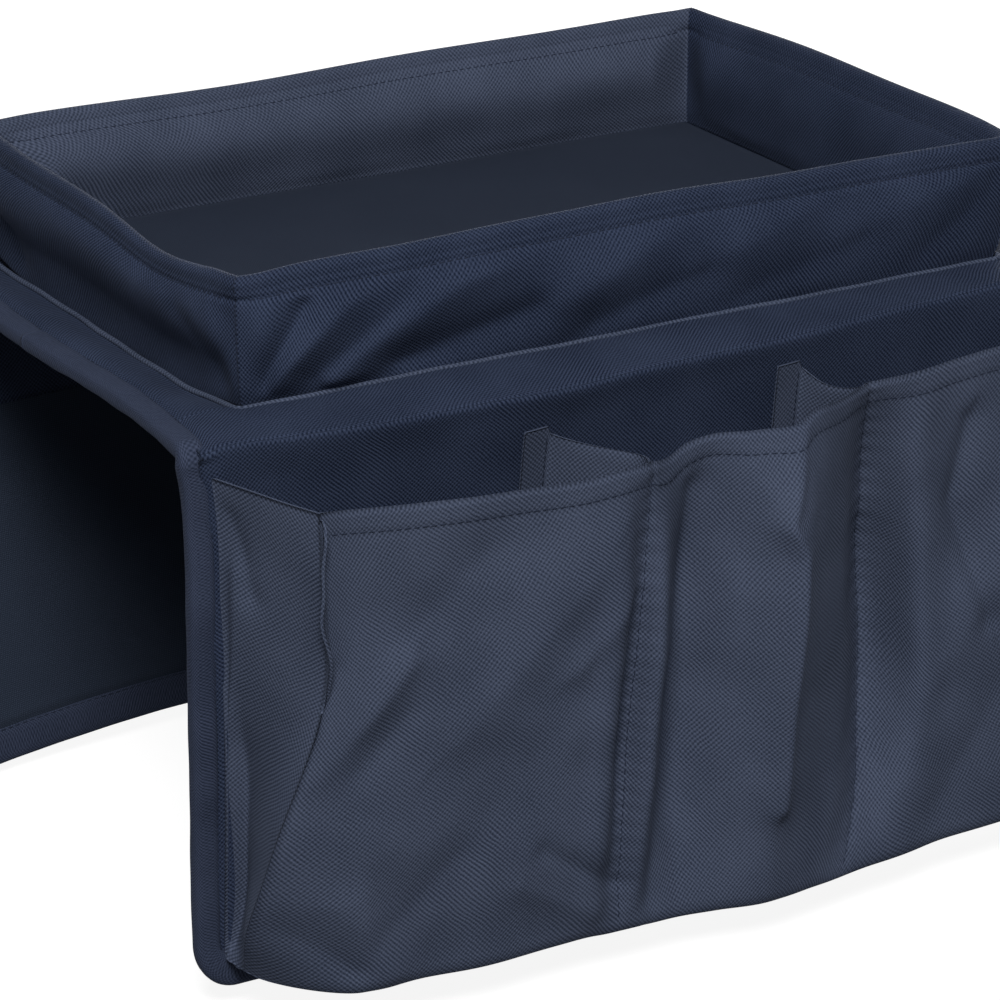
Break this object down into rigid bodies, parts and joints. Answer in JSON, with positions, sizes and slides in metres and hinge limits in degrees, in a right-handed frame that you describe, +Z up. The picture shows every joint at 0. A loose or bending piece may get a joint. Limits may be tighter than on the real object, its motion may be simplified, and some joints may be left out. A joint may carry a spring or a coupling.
{
  "type": "armrest organizer",
  "caption": "Fabric organizer for a sofa arm: an open stiffened tray on a saddle strip, with a hanging flap of gusseted pockets on each side.",
  "frame": {"origin": "centre of the saddle's underside, where it lies on the arm", "axes": "+X along the arm, -Y toward the front flap, +Z up out of the tray"},
  "size_m": [0.382, 0.351, 0.2598],
  "materials": {
    "twill": "matte",
    "lining": "matte",
    "floor_cloth": "matte",
    "binding": "matte",
    "stiffener": "matte",
    "padding": "matte"
  },
  "bodies": {
    "tray": {"base_cover": "twill", "base_board": "stiffener", "base_lining": "lining", "base_left_binding": "binding", "base_right_binding": "binding", "front_fold_cloth": "twill", "rear_fold_cloth": "twill", "front_wall_cover": "twill", "rear_wall_cover": "twill", "left_wall_cover": "twill", "right_wall_cover": "twill", "front_wall_board": "stiffener", "rear_wall_board": "stiffener", "left_wall_board": "stiffener", "right_wall_board": "stiffener", "tray_floor_cover": "floor_cloth", "tray_floor_board": "stiffener"},
    "front_flap": {"front_flap_cover": "twill", "front_flap_padding": "padding", "front_flap_facing": "twill", "front_flap_lining": "lining", "front_flap_left_binding": "binding", "front_flap_right_binding": "binding", "front_flap_hem": "binding", "front_pocket_panel": "twill", "front_pocket_left_gusset": "twill", "front_pocket_right_gusset": "twill", "front_pocket_divider_left": "twill", "front_pocket_divider_right": "twill", "front_pocket_bottom": "twill"},
    "rear_flap": {"rear_flap_cover": "twill", "rear_flap_padding": "padding", "rear_flap_facing": "twill", "rear_flap_lining": "lining", "rear_flap_left_binding": "binding", "rear_flap_right_binding": "binding", "rear_flap_hem": "binding", "rear_pocket_panel": "twill", "rear_pocket_left_gusset": "twill", "rear_pocket_right_gusset": "twill", "rear_pocket_divider_left": "twill", "rear_pocket_divider_right": "twill", "rear_pocket_bottom": "twill"}
  },
  "joints": [
    {"name": "front_flap_fold", "type": "hinge", "parent": "tray", "child": "front_flap", "pos_m": [0, -0.128, 0.0028], "axis": [-1, 0, 0], "range_deg": [-20, 115]},
    {"name": "rear_flap_fold", "type": "hinge", "parent": "tray", "child": "rear_flap", "pos_m": [0, 0.128, 0.0028], "axis": [1, 0, 0], "range_deg": [-20, 115]}
  ]
}
